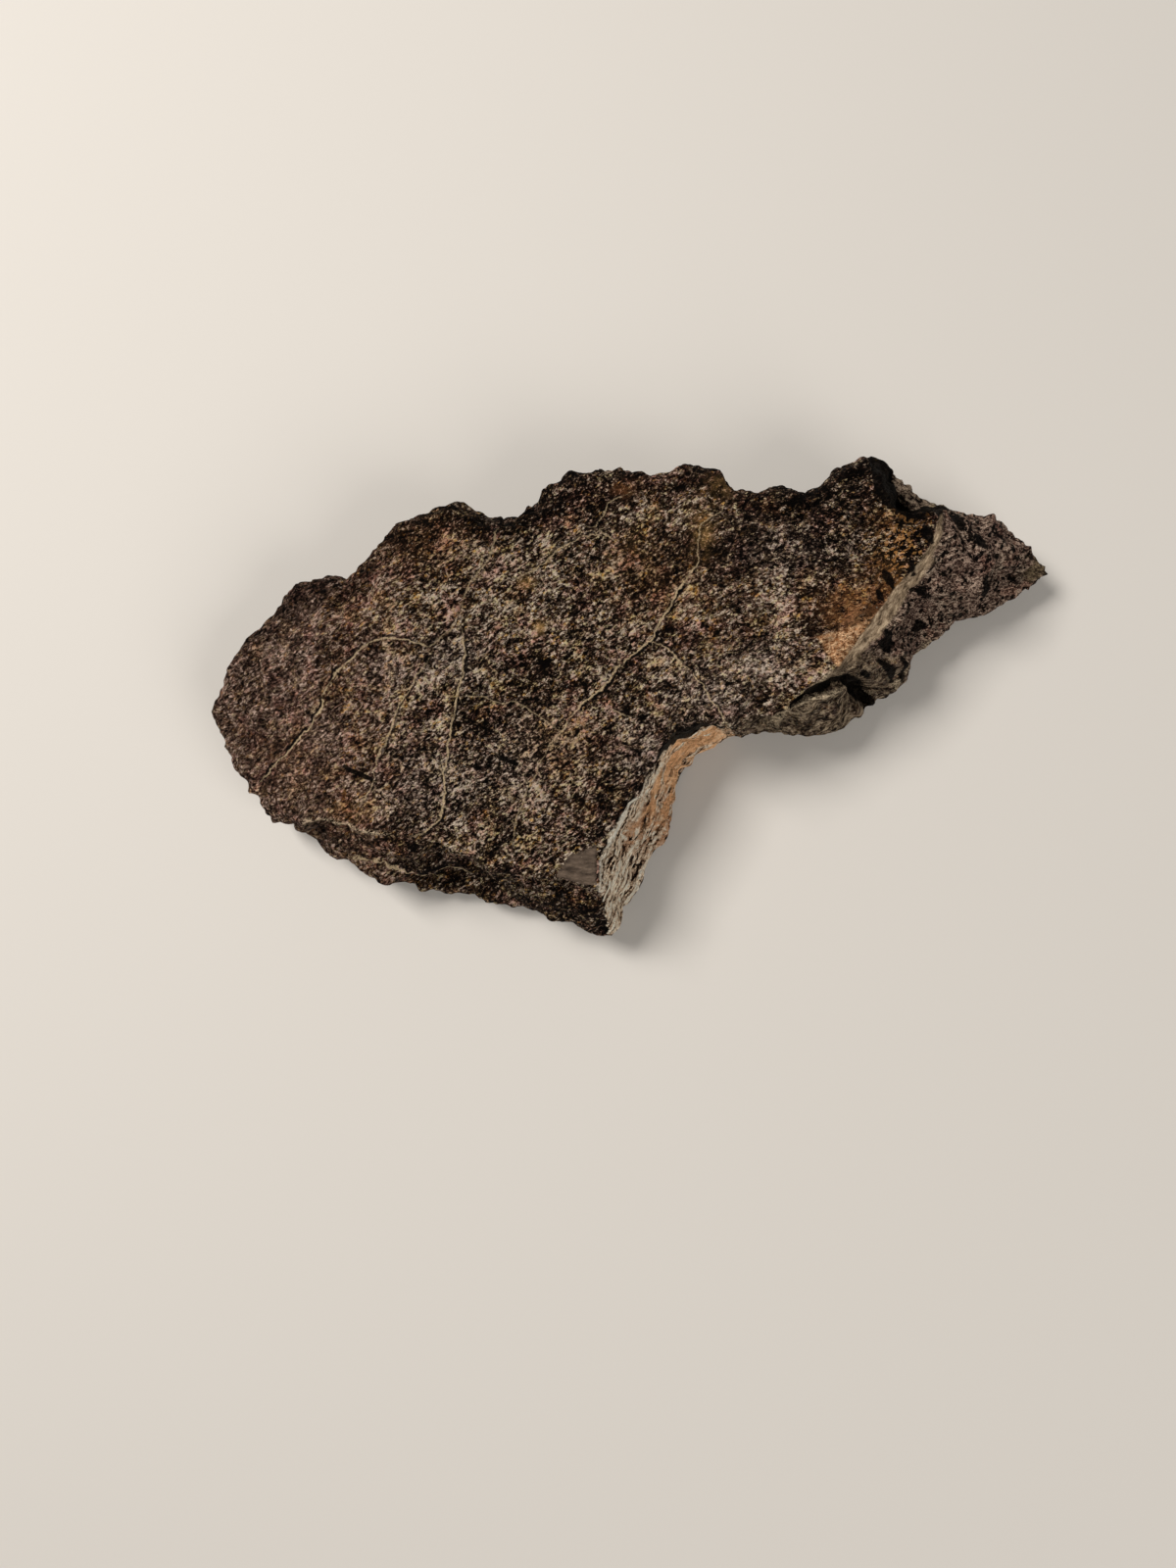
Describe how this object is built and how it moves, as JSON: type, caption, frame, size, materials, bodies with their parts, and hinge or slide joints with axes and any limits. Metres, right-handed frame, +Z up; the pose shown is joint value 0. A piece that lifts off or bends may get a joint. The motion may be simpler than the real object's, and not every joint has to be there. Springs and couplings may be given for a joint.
{
  "type": "chondrite meteorite",
  "caption": "Broken slab of dark stony meteorite: flat veined face with a scalloped edge, stepped fracture wall and sloping pitted flank, lying on a small flat spot.",
  "frame": {"origin": "centre of the stone's outline seen from above, at the height of the flat spot that it rests on", "axes": "+X along the long side towards the pointed end, +Y towards the scalloped edge, +Z up out of the flat veined face"},
  "size_m": [0.2008, 0.1126, 0.0301],
  "materials": {
    "meteorite_stone": "rough broken stone, dark brown and grey with pale flecks, cream veins and rust stains"
  },
  "bodies": {
    "root": {"meteorite": "meteorite_stone"}
  },
  "joints": []
}
